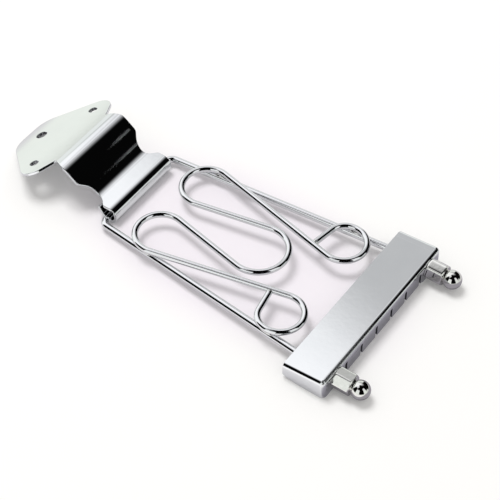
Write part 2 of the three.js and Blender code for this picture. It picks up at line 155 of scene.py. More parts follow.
# Crossbar
COVER_FOLD_R = 2.0
COVER_STRING_Z = 9.25
COVER_OPEN_Z = 7.6
COVER_RISE = (COVER_STRING_Z - COVER_OPEN_Z) / (COVER_FACE_X - COVER_OPEN_X)
OPEN_CORNER_R = 0.7
FOOT_RUN, FOOT_RISE, FOOT_R = 6.0, 1.4, 8.0
ARCH_HALF, ARCH_RISE, ARCH_LEAN, ARCH_R = SLOT_Y[-1] + 2.24, 0.9, 0.14, 0.8
LIP_R = 0.3

# Nuts. Each cap nut is turned so many degrees from lying with a flat on top.
CAP_FLATS, CAP_LENGTH, CAP_CHAMFER = 8.0, 7.4, 0.5
CAP_TURNS = {"near": -9.0, "far": 13.0}
NECK_R, BALL_R, BALL_STAND = 2.55, 3.9, 3.05
BACK_FLATS, BACK_LENGTH, BACK_CHAMFER = 4.6, 2.2, 0.25
FACE_INSET, BORE_CHAMFER, HEX_CORNER_CUT = 0.08, 0.3, 0.12
CONE_DEPTH = 0.62

# Filler metal, by the lengths of its lumps
LOOP_FILLER = (6.4, 2.7, 1.9)
WIRE_END_FILLER = (2.6, 2.6, 2.5)

# The two sides, by the sign of Y
SIDES = (("near", -1), ("far", 1))


def metres(points):
    """Points in the row's frame: moved by the offset of its origin, and divided by a thousand."""
    return (np.asarray(points, float) - (MIDDLE_X, 0.0, 0.0)) / 1000.0


# Meshes
def make_piece(name, shape, body, finish, stands_for):
    """A smooth piece from a shape, which is its points, triangles, quads, and exact normals or None."""
    points, triangles, quads, normals = shape
    mesh = bpy.data.meshes.new(name)
    triangles = np.asarray(triangles, np.int32).reshape(-1, 3)
    quads = np.asarray(quads, np.int32).reshape(-1, 4)
    corners = np.concatenate([triangles.ravel(), quads.ravel()])
    sizes = np.repeat([3, 4], [len(triangles), len(quads)])
    mesh.vertices.add(len(points))
    mesh.vertices.foreach_set("co", metres(points).astype(np.float32).ravel())
    mesh.loops.add(len(corners))
    mesh.loops.foreach_set("vertex_index", corners)
    mesh.polygons.add(len(sizes))
    mesh.polygons.foreach_set("loop_start", (np.cumsum(sizes) - sizes).astype(np.int32))
    mesh.update(calc_edges=True)
    mesh.validate()
    mesh.shade_smooth()
    if normals is not None:
        mesh.normals_split_custom_set_from_vertices(np.asarray(normals, float))
    mesh.materials.append(finish)
    piece = bpy.data.objects.new(name, mesh)
    bpy.context.scene.collection.objects.link(piece)
    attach(piece, body)
    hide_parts(*stands_for)


def grid_quads(rows, columns, closed):
    """Faces of a grid of points, row after row. A closed grid joins its last column to its first."""
    row = np.arange(rows - 1)[:, None] * columns
    column = np.arange(columns if closed else columns - 1)[None, :]
    after = (column + 1) % columns
    quads = np.stack([row + column, row + after, row + columns + after, row + columns + column], axis=-1)
    return quads.reshape(-1, 4)


def unit(vectors):
    return vectors / np.linalg.norm(vectors, axis=-1, keepdims=True)


def closed_tube(rings):
    """The shape of a tube with both ends closed by a fan round the middle of the end ring. rings has the
    shape (rows, columns, 3), and each ring goes round counterclockwise along the tube."""
    rows, columns = rings.shape[:2]
    points = np.concatenate([rings.reshape(-1, 3), rings[[0, -1]].mean(axis=1)])
    first, last = rows * columns, rows * columns + 1
    column = np.arange(columns)
    after = (column + 1) % columns
    start = np.stack([np.full(columns, first), after, column], axis=-1)
    offset = (rows - 1) * columns
    end = np.stack([np.full(columns, last), offset + column, offset + after], axis=-1)
    return points, np.concatenate([start, end]), grid_quads(rows, columns, True), None


def closed_ring(rings):
    """The shape of rings whose last one joins the first, as round a nut with an open bore."""
    rows, columns = rings.shape[:2]
    return rings.reshape(-1, 3), [], grid_quads(rows + 1, columns, True) % (rows * columns), None


def wire_rings(path, radius, columns):
    """Rings of a round wire: at each point of the path, a circle in the plane square to it. Each circle is
    the path's point plus the radius times (cosine of the turn along side plus sine of the turn along up).
    The radius is given for each point, or for each point and column."""
    tangent = unit(np.gradient(path, axis=0))
    side = unit(np.cross((0.0, 0.0, 1.0), tangent))
    up = np.cross(tangent, side)
    turn = np.linspace(0, 2 * math.pi, columns, endpoint=False)[None, :, None]
    radius = radius.reshape(len(path), -1, 1)
    round_about = np.cos(turn) * side[:, None, :] + np.sin(turn) * up[:, None, :]
    return path[:, None, :] + radius * round_about


# Lines bent from straight and round stretches
def bent_line(start, heading, stretches, spacing, arc_step):
    """A line drawn stretch by stretch, as a wire or a sheet is bent. A stretch is (length,) or (radius,
    degrees), where a positive turn goes left. Its points are at most the spacing apart on a straight, and
    the arc step, in degrees, on a round. Returns the points, the heading at each, in radians, and the length
    up to each."""
    at = np.array(start, float)
    points, headings, lengths = [at[None]], [np.array([heading])], [np.zeros(1)]
    for stretch in stretches:
        if len(stretch) == 1:
            length = stretch[0]
            count = max(1, math.ceil(length / spacing))
            along = np.linspace(0, length, count + 1)[1:]
            turned = np.full(count, heading)
            new = at + along[:, None] * (math.cos(heading), math.sin(heading))
        else:
            radius, angle = stretch[0], math.radians(stretch[1])
            side = math.copysign(1, angle)
            length = radius * abs(angle)
            count = max(2, math.ceil(abs(stretch[1]) / arc_step))
            along = np.linspace(0, length, count + 1)[1:]
            turned = heading + side * along / radius
            centre = at + radius * side * np.array([-math.sin(heading), math.cos(heading)])
            new = centre + radius * side * np.stack([np.sin(turned), -np.cos(turned)], axis=-1)
        points.append(new)
        headings.append(turned)
        lengths.append(lengths[-1][-1] + along)
        at, heading = new[-1], turned[-1]
    return np.concatenate(points), np.concatenate(headings), np.concatenate(lengths)


def rounded_outline(corners, spacing, arc_step=7.0):
    """A closed outline through corners (x, y, radius), with an arc that touches both sides where a corner
    has a radius."""
    parts = []
    count = len(corners)
    for i, (x, y, radius) in enumerate(corners):
        corner = np.array([x, y], float)
        if radius:
            back = unit(np.array(corners[i - 1][:2], float) - corner)
            ahead = unit(np.array(corners[(i + 1) % count][:2], float) - corner)
            half = math.acos(max(-1.0, min(1.0, float(back @ ahead)))) / 2
            centre = corner + unit(back + ahead) * radius / math.sin(half)
            start = corner + back * radius / math.tan(half) - centre
            turn = (math.pi - 2 * half) * (1 if back[0] * ahead[1] - back[1] * ahead[0] < 0 else -1)
            steps = max(2, math.ceil(abs(math.degrees(turn)) / arc_step))
            angle = np.linspace(0, turn, steps + 1)
            spun = np.stack([
                start[0] * np.cos(angle) - start[1] * np.sin(angle),
                start[0] * np.sin(angle) + start[1] * np.cos(angle),
            ], axis=-1)
            parts.append(centre + spun)
        else:
            parts.append(corner[None])
    outline = np.concatenate(parts)
    step = np.roll(outline, -1, axis=0) - outline
    length = np.linalg.norm(step, axis=1)
    keep = length > 1e-6
    outline, step, length = outline[keep], step[keep], length[keep]
    pieces = np.maximum(1, np.ceil(length / spacing)).astype(int)
    owner = np.repeat(np.arange(len(pieces)), pieces)
    share = (np.arange(len(owner)) - np.repeat(np.cumsum(pieces) - pieces, pieces)) / pieces[owner]
    return outline[owner] + share[:, None] * step[owner]


def inside(points, loops):
    """Which points lie inside the loops: those from which a ray crosses the loops' sides an odd number of
    times."""
    start = np.concatenate(loops)
    end = np.concatenate([np.roll(loop, -1, axis=0) for loop in loops])
    x, y = points[:, :1], points[:, 1:]
    spans = (start[:, 1] > y) != (end[:, 1] > y)
    rise = np.where(end[:, 1] == start[:, 1], 1.0, end[:, 1] - start[:, 1])
    crossing = start[:, 0] + (y - start[:, 1]) * (end[:, 0] - start[:, 0]) / rise
    return (spans & (x < crossing)).sum(axis=1) % 2 == 1


def filled(loops, following, lattice):
    """The loops' points, then the lattice's, and triangles that fill the pattern between the loops.
    following has, for each loop point, the index of the next one round its loop."""
    flat = np.concatenate([*loops, lattice])
    sides = np.stack([np.arange(len(following)), following], axis=-1)
    made = delaunay_2d_cdt(flat.tolist(), sides.tolist(), [], 0, 1e-7)
    if len(made[0]) != len(flat):
        raise ValueError("the pattern's outline crosses itself or has doubled points")
    triangles = np.array(made[2], int)
    a, b, c = (flat[triangles[:, i]] for i in range(3))
    area = (b[:, 0] - a[:, 0]) * (c[:, 1] - a[:, 1]) - (b[:, 1] - a[:, 1]) * (c[:, 0] - a[:, 0])
    kept = inside(flat[triangles].mean(axis=1), loops) & (np.abs(area) > 1e-9)
    return flat, np.where(area[:, None] < 0, triangles[:, ::-1], triangles)[kept]


def sheet_piece(loops, lattice, surface, top, bottom, edge, clear):
    """The shape of a bent sheet, drawn as a flat pattern and laid on a surface.

    loops are the pattern's closed outlines, the outer one counterclockwise and the holes clockwise. lattice
    has the pattern's inner points, of which those too near the outline, by clear, are left out.
    surface(pattern) gives a point and a unit normal for each pattern point, and the sheet runs from top to
    bottom along that normal. Its edges are rounded: at the angle a, the outline is moved out by the edge
    radius times (sine of a minus one), and in from the face by the edge radius times (one minus cosine of
    a)."""
    chords = [np.roll(loop, -1, axis=0) - np.roll(loop, 1, axis=0) for loop in loops]
    outward = unit(np.concatenate(chords)[:, ::-1] * (1, -1))
    outline = np.concatenate(loops)
    inset = outline - edge * outward
    near = np.abs(lattice[:, None, :] - inset[None]).max(axis=2).min(axis=1) < clear
    starts = np.cumsum([0] + [len(loop) for loop in loops])
    spans = list(zip(starts[:-1], starts[1:]))
    following = np.concatenate([
        first + (np.arange(last - first) + 1) % (last - first) for first, last in spans
    ])
    inset_loops = [inset[first:last] for first, last in spans]
    flat, triangles = filled(inset_loops, following, lattice[inside(lattice, loops) & ~near])

    face, face_normal = surface(flat)
    points, normals = [face + top * face_normal], [face_normal]
    angles = np.radians([22.5, 45, 67.5, 90])
    levels = [(angle, top - edge * (1 - math.cos(angle)), 1) for angle in angles]
    levels += [(angle, bottom + edge * (1 - math.cos(angle)), -1) for angle in angles[::-1]]
    for angle, depth, way in levels:
        pattern = outline + edge * (math.sin(angle) - 1) * outward
        place, normal = surface(pattern)
        ahead, _ = surface(pattern + 1e-3 * outward)
        out = unit(ahead - place - ((ahead - place) * normal).sum(axis=1, keepdims=True) * normal)
        points.append(place + depth * normal)
        normals.append(math.sin(angle) * out + way * math.cos(angle) * normal)
    points.append(face + bottom * face_normal)
    normals.append(-face_normal)

    index = np.arange(len(outline))
    firsts = [0] + [len(flat) + i * len(outline) for i in range(len(levels) + 1)]
    quads = np.concatenate([
        np.stack([one + index, other + index, other + following, one + following], axis=-1)
        for one, other in zip(firsts[:-1], firsts[1:])
    ])
    triangles = np.concatenate([triangles, triangles[:, ::-1] + firsts[-1]])
    return np.concatenate(points), triangles, quads, unit(np.concatenate(normals))


# Shader nodes
class Channel:
    """A number that a shader works out. Arithmetic on it adds Math nodes to its tree."""

    def __init__(self, tree, socket):
        self.tree, self.socket = tree, socket

    def __add__(self, other):
        return self.tree.maths("ADD", self, other)

    def __sub__(self, other):
        return self.tree.maths("SUBTRACT", self, other)

    def __rsub__(self, other):
        return self.tree.maths("SUBTRACT", other, self)

    def __mul__(self, other):
        return self.tree.maths("MULTIPLY", self, other)

    def __pow__(self, other):
        return self.tree.maths("POWER", self, other)

    def __abs__(self):
        return self.tree.maths("ABSOLUTE", self)

    def most(self, other):
        return self.tree.maths("MAXIMUM", self, other)

    __radd__ = __add__
    __rmul__ = __mul__


class NodeTree:
    """The nodes of one material, or of the world."""

    def __init__(self, owner):
        owner.use_nodes = True
        self.tree = owner.node_tree
        self.tree.nodes.clear()

    def node(self, kind, settings=None, values=None, output=0):
        """Adds a node. Its settings come first, then the values or links of its sockets. Gives the output
        that is asked for, or nothing where the node has none."""
        made = self.tree.nodes.new(kind)
        for key, value in (settings or {}).items():
            setattr(made, key, value)
        for key, value in (values or {}).items():
            if isinstance(value, Channel):
                self.tree.links.new(value.socket, made.inputs[key])
            else:
                made.inputs[key].default_value = value
        return Channel(self, made.outputs[output]) if made.outputs else None

    def maths(self, operation, *terms):
        return self.node("ShaderNodeMath", {"operation": operation}, dict(enumerate(terms)))

    def step_up(self, value, low, high):
        """0 below low, 1 above high, and a smooth climb between."""
        return self.node(
            "ShaderNodeMapRange", {"interpolation_type": "SMOOTHSTEP"}, {0: value, 1: low, 2: high}
        )

    def step_down(self, value, low, high):
        """1 below low, 0 above high, and a smooth fall between."""
        return 1.0 - self.step_up(value, low, high)

    def blend(self, share, first, second):
        """The first colour where the share is 0, the second where it is 1, and a mix between."""
        return self.node("ShaderNodeMix", {"data_type": "RGBA"}, {"Factor": share, 6: first, 7: second}, 2)

    def noise(self, where, scale, detail, roughness):
        return self.node("ShaderNodeTexNoise", {}, {
            "Vector": where, "Scale": scale, "Detail": detail, "Roughness": roughness,
        })

    def dot(self, where, axis):
        """The length of a place along an axis, times the axis's own length."""
        return self.node("ShaderNodeVectorMath", {"operation": "DOT_PRODUCT"}, {0: where, 1: axis}, "Value")

    def length(self, where):
        return self.node("ShaderNodeVectorMath", {"operation": "LENGTH"}, {0: where}, "Value")

    def ray(self, kind):
        """1 for rays of a kind, which is Camera, Glossy or Diffuse."""
        return self.node("ShaderNodeLightPath", output=f"Is {kind} Ray")


def millimetres(shader, where):
    """X from the hinge axis, Y and Z, in millimetres."""
    x, y, z = (shader.dot(where, axis) for axis in ((1000, 0, 0), (0, 1000, 0), (0, 0, 1000)))
    return x + MIDDLE_X, y, z


# Marks in the chrome. A crease is its share of the way from the shoulder down to the valley, the Y where it
# starts to grow, the Y where it is full, and the Y where it ends. The waves lie between two places that are
# taken from the crossbar's far end.
CREASES = ((0.44, -3.0, 11.0, 18.2), (0.78, -20.0, 12.0, 17.4))
CREASE_HALF, CREASE_FADE = 0.9, 2.0
WAVE_PITCH, WAVES_FROM, WAVES_TO = 0.95, -5.2, -1.2
# Painted shade, nearly black, on the walls of the string slots and the plate's holes
PAINTED_EDGE_SHADE = (0.06, 0.06, 0.07, 1)


def press_creases(shader, x, y):
    """1 along two creases that the press has left across the bracket's steep face."""
    creases = 0.0
    for share, first, full, last in CREASES:
        at = -SHOULDER_X + share * (SHOULDER_X - VALLEY_X)
        along = shader.step_up(y, first, full) * shader.step_down(y, last - CREASE_FADE, last)
        creases = creases + along * shader.step_down(abs(x - at), 0.0, CREASE_HALF)
    return creases


def press_waves(shader, x, y):
    """Waves from -1 to 1 beside the crossbar's far fold, and 0 elsewhere."""
    from_end = y - COVER_HALF
    begun = shader.step_up(from_end, WAVES_FROM, WAVES_FROM + 1.0)
    not_over = shader.step_down(from_end, WAVES_TO - 0.6, WAVES_TO)
    on_crossbar = shader.step_up(x, MIDDLE_X, COVER_OPEN_X)
    return shader.maths("SINE", y * (2 * math.pi / WAVE_PITCH)) * begun * not_over * on_crossbar


def slot_wall_shade(shader, x, y, z):
    """1 in the string slots, whose walls get a painted shade: inside their width, between the flange's two
    faces and below their tops.
    """
    from_middle = abs(shader.maths("WRAP", y, SLOT_PITCH, 0.0) - SLOT_PITCH / 2)
    from_face = x - COVER_FACE_X
    in_width = shader.step_down(from_middle, SLOT_HALF + 0.02, SLOT_HALF + 0.10)
    in_flange = shader.step_up(from_face, -1.4, -1.3) * shader.step_down(from_face, -0.12, -0.04)
    below_top = shader.step_down(z, SLOT_TOP_Z, SLOT_TOP_Z + 0.1)
    in_row = shader.step_down(abs(y), SLOT_Y[-1] + 1.5, SLOT_Y[-1] + 2.0)
    return in_width * in_flange * below_top * in_row


def hole_wall_shade(shader, x, y, z):
    """0.8 in the plate's three holes, whose walls get a painted shade, by the distance from each hole's
    middle along the plate.
    """
    slope = math.radians(PLATE_SLOPE)
    up_plate = (x + PLATE_REACH) * math.cos(slope) + z * math.sin(slope)
    dull = 0.0
    for s, hole_y, radius in PLATE_HOLES:
        away = ((up_plate - s) ** 2.0 + (y - hole_y) ** 2.0) ** 0.5
        dull = dull + 0.8 * shader.step_down(away, radius + 0.05, radius + 0.16)
    return dull


def buffed_fold(shader, x, y, z):
    """1 along the crossbar's long fold towards its near end, where the polish is duller."""
    from_face = x - COVER_FACE_X
    in_fold = shader.step_up(from_face, -1.9, -1.2) * shader.step_up(z, 6.4, 7.4)
    return in_fold * shader.step_down(y, -26.0, 22.0)


def chrome(name, colour, clouded, cloud_scale, rough, smear, grain_scale, stamped=False):
    """Polished chrome plate: a clouded tint, smears of uneven polish, and a faint ripple under the plate.
    On stamped sheet the walls of the slots and holes get a painted shade, nearly black, and it has the marks
    of the press and of buffing."""
    material = bpy.data.materials.new(name)
    shader = NodeTree(material)
    where = shader.node("ShaderNodeTexCoord", output="Object")
    cloud = shader.noise(where, cloud_scale, 3.0, 0.55)
    wipe = shader.node("ShaderNodeMapping", {}, {"Vector": where, "Scale": (1.0, 2.0, 1.0)})
    smears = shader.step_up(shader.noise(wipe, 90.0, 3.0, 0.55), 0.45, 0.80)
    specks = shader.step_up(shader.noise(where, 1900.0, 1.0, 0.4), 0.70, 0.82)
    tint = shader.blend(cloud, colour, clouded)
    height = 0.03 * shader.noise(where, grain_scale, 2.0, 0.4)
    roughness = rough + smear * smears + 0.10 * specks
    if stamped:
        x, y, z = millimetres(shader, where)
        creases = press_creases(shader, x, y)
        # The walls of the slots and holes are painted nearly black as shade.
        cut = slot_wall_shade(shader, x, y, z).most(hole_wall_shade(shader, x, y, z))
        height = height + 1.1 * creases + 0.03 * press_waves(shader, x, y)
        tint = shader.blend(cut, tint, PAINTED_EDGE_SHADE)
        roughness = roughness + 0.30 * buffed_fold(shader, x, y, z) + 0.36 * creases
    bump = shader.node("ShaderNodeBump", {}, {"Strength": 1.0, "Distance": 0.00013, "Height": height})
    surface = shader.node("ShaderNodeBsdfPrincipled", {}, {
        "Base Color": tint,
        "Metallic": 1.0,
        "Roughness": roughness,
        "Normal": bump,
    })
    shader.node("ShaderNodeOutputMaterial", {}, {"Surface": surface})
    return material


sheet_chrome = chrome(
    "chrome_sheet", colour=(0.86, 0.87, 0.875, 1), clouded=(0.79, 0.805, 0.82, 1), cloud_scale=90.0,
    rough=0.03, smear=0.03, grain_scale=500.0, stamped=True,
)
wire_chrome = chrome(
    "chrome_wire", colour=(0.83, 0.83, 0.845, 1), clouded=(0.76, 0.765, 0.785, 1), cloud_scale=200.0,
    rough=0.03, smear=0.04, grain_scale=900.0,
)
nut_chrome = chrome(
    "chrome_nut", colour=(0.89, 0.88, 0.86, 1), clouded=(0.66, 0.66, 0.63, 1), cloud_scale=700.0,
    rough=0.05, smear=0.06, grain_scale=1500.0,
)
filler_chrome = chrome(
    "filler_metal", colour=(0.80, 0.80, 0.79, 1), clouded=(0.68, 0.68, 0.67, 1), cloud_scale=600.0,
    rough=0.14, smear=0.18, grain_scale=1400.0,
)


# Wire frame
WIRE_SPACING, WIRE_ARC_STEP = 0.8, 2.5
LEG_COLUMNS, SCROLL_COLUMNS = 40, 44


def leg_height(x):
    """Height of the wire frame's middle line: a straight climb from the hinge to the level tips."""
    return HINGE_Z + (NUT_Z - HINGE_Z) * np.clip(x, 0, LEVEL_X) / LEVEL_X


def mirrored_wire(half, height):
    """A wire's whole middle line from its far half, which starts on the middle plane."""
    far = np.column_stack([half, height(half[:, 0])])
    near = far[:0:-1] * (1, -1, 1)
    return np.concatenate([near, far])


leg_angle = math.atan2(LEG_TIP_Y - LEG_HINGE_Y, TIP_BEND_X)
leg_turn = math.pi / 2 - leg_angle
corner_reach = LEG_CORNER_R * math.tan(leg_turn / 2)
tip_reach = TIP_BEND_R * math.tan(leg_angle / 2)
leg_length = math.hypot(TIP_BEND_X, LEG_TIP_Y - LEG_HINGE_Y)
leg_half, _, _ = bent_line((0, 0), math.pi / 2, [
    (LEG_HINGE_Y - corner_reach,),
    (LEG_CORNER_R, -math.degrees(leg_turn)),
    (leg_length - corner_reach - tip_reach,),
    (TIP_BEND_R, -math.degrees(leg_angle)),
], WIRE_SPACING, WIRE_ARC_STEP)
threaded_x = np.arange(leg_half[-1, 0], LEG_END_X, THREAD_PITCH / 8)[1:]
tips = np.column_stack([threaded_x, np.full(len(threaded_x), LEG_TIP_Y)])
leg_line = mirrored_wire(np.concatenate([leg_half, tips]), leg_height)


def thread_radius(path):
    """Radius of the wire at each place: plain up to where the thread starts, and from there a groove that
    moves one pitch along the wire in each turn. Its depth is a triangle wave, cut off at the full depth,
    that fades in over two turns. The tip is chamfered to three quarters of the radius."""
    turn = np.linspace(0, 1, LEG_COLUMNS, endpoint=False)[None, :]
    x = path[:, :1]
    wave = np.abs(2 * (((x / THREAD_PITCH - turn) % 1.0) - 0.5))
    fade = np.clip((x - THREAD_START_X) / (2 * THREAD_PITCH), 0, 1)
    full = np.clip(LEG_END_X - x - 0.05, 0, LEG_CHAMFER) / LEG_CHAMFER
    return (FRAME_WIRE_R - THREAD_DEPTH * fade * np.clip(1.25 * wave, 0, 1)) * (0.75 + 0.25 * full)


leg_rings = wire_rings(leg_line, thread_radius(leg_line), LEG_COLUMNS)
make_piece("wire_frame", closed_tube(leg_rings), "frame", wire_chrome, ["outer_frame"])


# Scroll wire
def crossing_tangent(start, end, side):
    """Heading, in radians, and length of the straight that leaves one circle and meets the next on its
    other side. Each circle is (x, y, radius)."""
    across, radii = math.hypot(end[0] - start[0], end[1] - start[1]), start[2] + end[2]
    length = math.sqrt(across**2 - radii**2)
    return math.atan2(end[1] - start[1], end[0] - start[0]) + side * math.atan2(radii, length), length


def scroll_path(stretches):
    """The scroll wire's far half from the middle of its U: points, headings and lengths."""
    return bent_line((U_X + U_R, 0), math.pi / 2, stretches, WIRE_SPACING, WIRE_ARC_STEP)


inner_heading, inner_length = crossing_tangent((U_X, 0, U_R), BIG_LOOP, 1)
outer_heading, outer_length = crossing_tangent(BIG_LOOP, SMALL_LOOP, -1)
inner_turn = (math.degrees(inner_heading) - 90) % 360
outer_turn = math.degrees(outer_heading) - (90 + inner_turn)
to_last_run = [
    (U_R, inner_turn),
    (inner_length,),
    (BIG_LOOP_R, outer_turn),
    (outer_length,),
    (SMALL_LOOP_R, SMALL_LOOP_TIGHT_FROM + 90 - math.degrees(outer_heading)),
    (SMALL_LOOP_TIGHT_R, WIRE_END_HEADING - SMALL_LOOP_TIGHT_FROM - 90),
]

# The last run goes back towards the outer straight. Its length is the distance that is left to that
# straight over how fast the run closes in on it, less the wire's radius and a gap.
outer_start = scroll_path(to_last_run[:3])[0][-1]
last_points, last_headings, _ = scroll_path(to_last_run)
across = np.array([-math.sin(outer_heading), math.cos(outer_heading)])
closing = -math.sin(last_headings[-1] - outer_heading)
last_run = float((last_points[-1] - outer_start) @ across) / closing - SCROLL_WIRE_R - WIRE_END_GAP
scroll_half, _, _ = scroll_path([*to_last_run, (last_run,)])


def cut_end_radius(path, radius, chamfer):
    """Radius at each point of a wire whose two cut ends are chamfered: full, less what is missing of the
    chamfer's length to the nearer end."""
    along = np.concatenate([[0], np.cumsum(np.linalg.norm(np.diff(path, axis=0), axis=1))])
    to_end = np.minimum(along, along[-1] - along)
    return radius - np.clip(chamfer - to_end, 0, chamfer)


def finer_ends(path, reach, count):
    """The path with extra points near both ends, where the chamfers are."""
    share = np.linspace(0, 1, count + 1)[:-1, None] ** 2
    start, end = path[0], path[-1]
    first = start + share * reach * unit(path[1] - start)
    last = end + share[::-1] * reach * unit(path[-2] - end)
    return np.concatenate([first, path[1:-1], last])


scroll_line = mirrored_wire(scroll_half, lambda x: leg_height(x) + SCROLL_LIFT)
scroll_line = finer_ends(scroll_line, reach=0.5, count=6)
scroll_radius = cut_end_radius(scroll_line, SCROLL_WIRE_R, WIRE_END_CHAMFER)
scroll_rings = wire_rings(scroll_line, scroll_radius, SCROLL_COLUMNS)
make_piece("scroll", closed_tube(scroll_rings), "frame", wire_chrome, ["scroll_wire"])


# Hinge bracket
def bracket_stretches():
    """The stretches of the bracket's middle line, from the plate's outer edge to the end of the rolled-in
    edge, with the heights and angles that make each bend touch the next straight."""
    slope = math.radians(PLATE_SLOPE)
    start = (-PLATE_REACH + SHEET / 2 * math.sin(slope), SHEET / 2 * math.cos(slope))
    shoulder_z = start[1] + (start[0] + SHOULDER_X) * -math.tan(slope)
    fall = math.atan2(shoulder_z - BAND_Z, SHOULDER_X - VALLEY_X)
    tail_z = BAND_Z - SHEET - TAIL_GAP
    tail_to_middle = math.hypot(TAIL_X, tail_z - ROLL_Z)
    tail_heading = math.atan2(tail_z - ROLL_Z, -TAIL_X) - math.asin(ROLL_R / tail_to_middle)
    shoulder_reach = SHOULDER_R * math.tan((slope + fall) / 2)
    valley_reach = VALLEY_R * math.tan(fall / 2)
    return start, slope, [
        (math.hypot(start[0] + SHOULDER_X, shoulder_z - start[1]) - shoulder_reach,),
        (SHOULDER_R, -math.degrees(slope + fall)),
        (math.hypot(SHOULDER_X - VALLEY_X, shoulder_z - BAND_Z) - shoulder_reach - valley_reach,),
        (VALLEY_R, math.degrees(fall)),
        (VALLEY_X - valley_reach,),
        (ROLL_R, -math.degrees(2 * math.pi - tail_heading)),
        (math.sqrt(tail_to_middle**2 - ROLL_R**2),),
    ]


fine_line, fine_heading, fine_along = bent_line(*bracket_stretches(), spacing=0.05, arc_step=0.5)
_, _, row_along = bent_line(*bracket_stretches(), spacing=1.6, arc_step=4.0)


def bent_surface(pattern):
    """The bracket's middle surface. The pattern's first number is the length along the bent middle line and
    its second is Y. The point is the middle line's point at that length, and the normal is the line's
    heading turned a quarter to the left."""
    along, y = pattern[:, 0], pattern[:, 1]
    x = np.interp(along, fine_along, fine_line[:, 0])
    z = np.interp(along, fine_along, fine_line[:, 1])
    heading = np.interp(along, fine_along, fine_heading)
    before, after = np.minimum(along, 0), np.maximum(along - fine_along[-1], 0)
    x = x + (before + after) * np.cos(heading)
    z = z + (before + after) * np.sin(heading)
    normal = np.stack([-np.sin(heading), np.zeros_like(heading), np.cos(heading)], axis=-1)
    return np.stack([x, y, z], axis=-1), normal


def bracket_outline():
    """The bracket's flat pattern: the plate's outline, and the arm's, which is drawn in X seen from above
    and then laid out along the middle line."""
    plate = rounded_outline([
        (0, NOSE_HALF, NOSE_R), (0, -NOSE_HALF, NOSE_R), (TIP_S, -TIP_HALF, TIP_R),
        (THROAT_S, -THROAT_HALF, 0), (THROAT_S, THROAT_HALF, 0), (TIP_S, TIP_HALF, TIP_R),
    ], spacing=0.5)
    throat_x = -PLATE_REACH + THROAT_S * math.cos(math.radians(PLATE_SLOPE))
    front = int(np.argmax(fine_line[:, 0]))
    front_x = fine_line[front, 0]
    arm = rounded_outline([
        (throat_x, -THROAT_HALF, 0),
        (SHOULDER_FRONT_X, -SHOULDER_HALF, SHOULDER_FRONT_R),
        (WAIST_START_X, -SHOULDER_HALF, WAIST_START_R),
        (WAIST_X, -WAIST_HALF, WAIST_R),
        (WAIST_END_X, -BARREL_HALF, WAIST_END_R),
        (front_x, -BARREL_HALF, 0), (front_x, 0, 0), (throat_x, 0, 0),
    ], spacing=0.4)
    arm = arm[:np.argmax(arm[:, 0] > front_x - 1e-6)]
    arm[:, 0] = np.interp(arm[:, 0], fine_line[:front, 0], fine_along[:front])
    start, end = arm[-1, 0] + 0.35, fine_along[-1]
    rolled = rounded_outline([
        (start, -BARREL_HALF, 0), (end, -BARREL_HALF, TAIL_CORNER_R),
        (end, BARREL_HALF, TAIL_CORNER_R), (start, BARREL_HALF, 0),
    ], spacing=0.5)
    rolled = rolled[:np.argmax(rolled[:, 1] > BARREL_HALF - 1e-6)]
    rolled = rolled[rolled[:, 1] < 0]
    near = np.argmin(np.linalg.norm(plate - (THROAT_S, -THROAT_HALF), axis=1))
    far = np.argmin(np.linalg.norm(plate - (THROAT_S, THROAT_HALF), axis=1))
    near_side = np.concatenate([arm, rolled])
    return np.concatenate([plate[:near], near_side, near_side[::-1] * (1, -1), plate[far + 1:]])


def round_hole(centre_x, centre_y, radius, count=48):
    """A hole's outline, clockwise: the centre plus the radius times cosine and minus sine of the turn."""
    turn = np.linspace(0, 2 * math.pi, count, endpoint=False)
    return np.column_stack([centre_x + radius * np.cos(turn), centre_y - radius * np.sin(turn)])


def grid_points(rows, columns):
    """The points where rows and columns cross."""
    row, column = np.meshgrid(rows, columns, indexing="ij")
    return np.column_stack([row.ravel(), column.ravel()])


plate_sheet = sheet_piece(
    [bracket_outline(), *(round_hole(*hole) for hole in PLATE_HOLES)],
    grid_points(row_along, np.arange(-TIP_HALF + 0.55, TIP_HALF, 1.5)),
    bent_surface, top=SHEET / 2, bottom=-SHEET / 2, edge=BRACKET_EDGE_R, clear=0.2,
)
make_piece("hinge_plate", plate_sheet, "bracket", sheet_chrome, ["hinge_bracket"])


# Crossbar
COVER_INNER_X = COVER_FACE_X - COVER_FOLD_R
COVER_INNER_HALF = COVER_HALF - COVER_FOLD_R
FOLD_LENGTH = COVER_FOLD_R * math.pi / 2


def cover_top(x):
    """Height of the crossbar's sloping top."""
    return COVER_OPEN_Z + COVER_RISE * (x - COVER_OPEN_X)


def cover_surface(pattern):
    """The crossbar's outer surface. In the flat pattern, a point outside the inner rectangle lies at some
    distance from it. It is carried out from the rectangle by the fold radius times the sine of distance
    over radius, and down by the radius times one minus the cosine, then straight down. All is sheared up
    along X by the top's slope."""
    inner = np.stack([
        np.minimum(pattern[:, 0], COVER_INNER_X), np.clip(pattern[:, 1], -COVER_INNER_HALF, COVER_INNER_HALF)
    ], axis=-1)
    away = pattern - inner
    distance = np.linalg.norm(away, axis=1)
    way = away / np.maximum(distance, 1e-9)[:, None]
    angle = np.minimum(distance / COVER_FOLD_R, math.pi / 2)
    flat = inner + COVER_FOLD_R * np.sin(angle)[:, None] * way
    drop = COVER_FOLD_R * (1 - np.cos(angle)) + np.maximum(distance - FOLD_LENGTH, 0)
    place = np.column_stack([flat, cover_top(flat[:, 0]) - drop])
    normal = np.column_stack([np.sin(angle)[:, None] * way, np.cos(angle)])
    normal[:, 0] -= COVER_RISE * normal[:, 2]
    return place, unit(normal)


def flange_length(x, z):
    """Pattern distance from the inner rectangle to a height on a flange: the top's height less the height,
    less the fold's radius, plus the fold's length."""
    return cover_top(x) - z - COVER_FOLD_R + FOLD_LENGTH


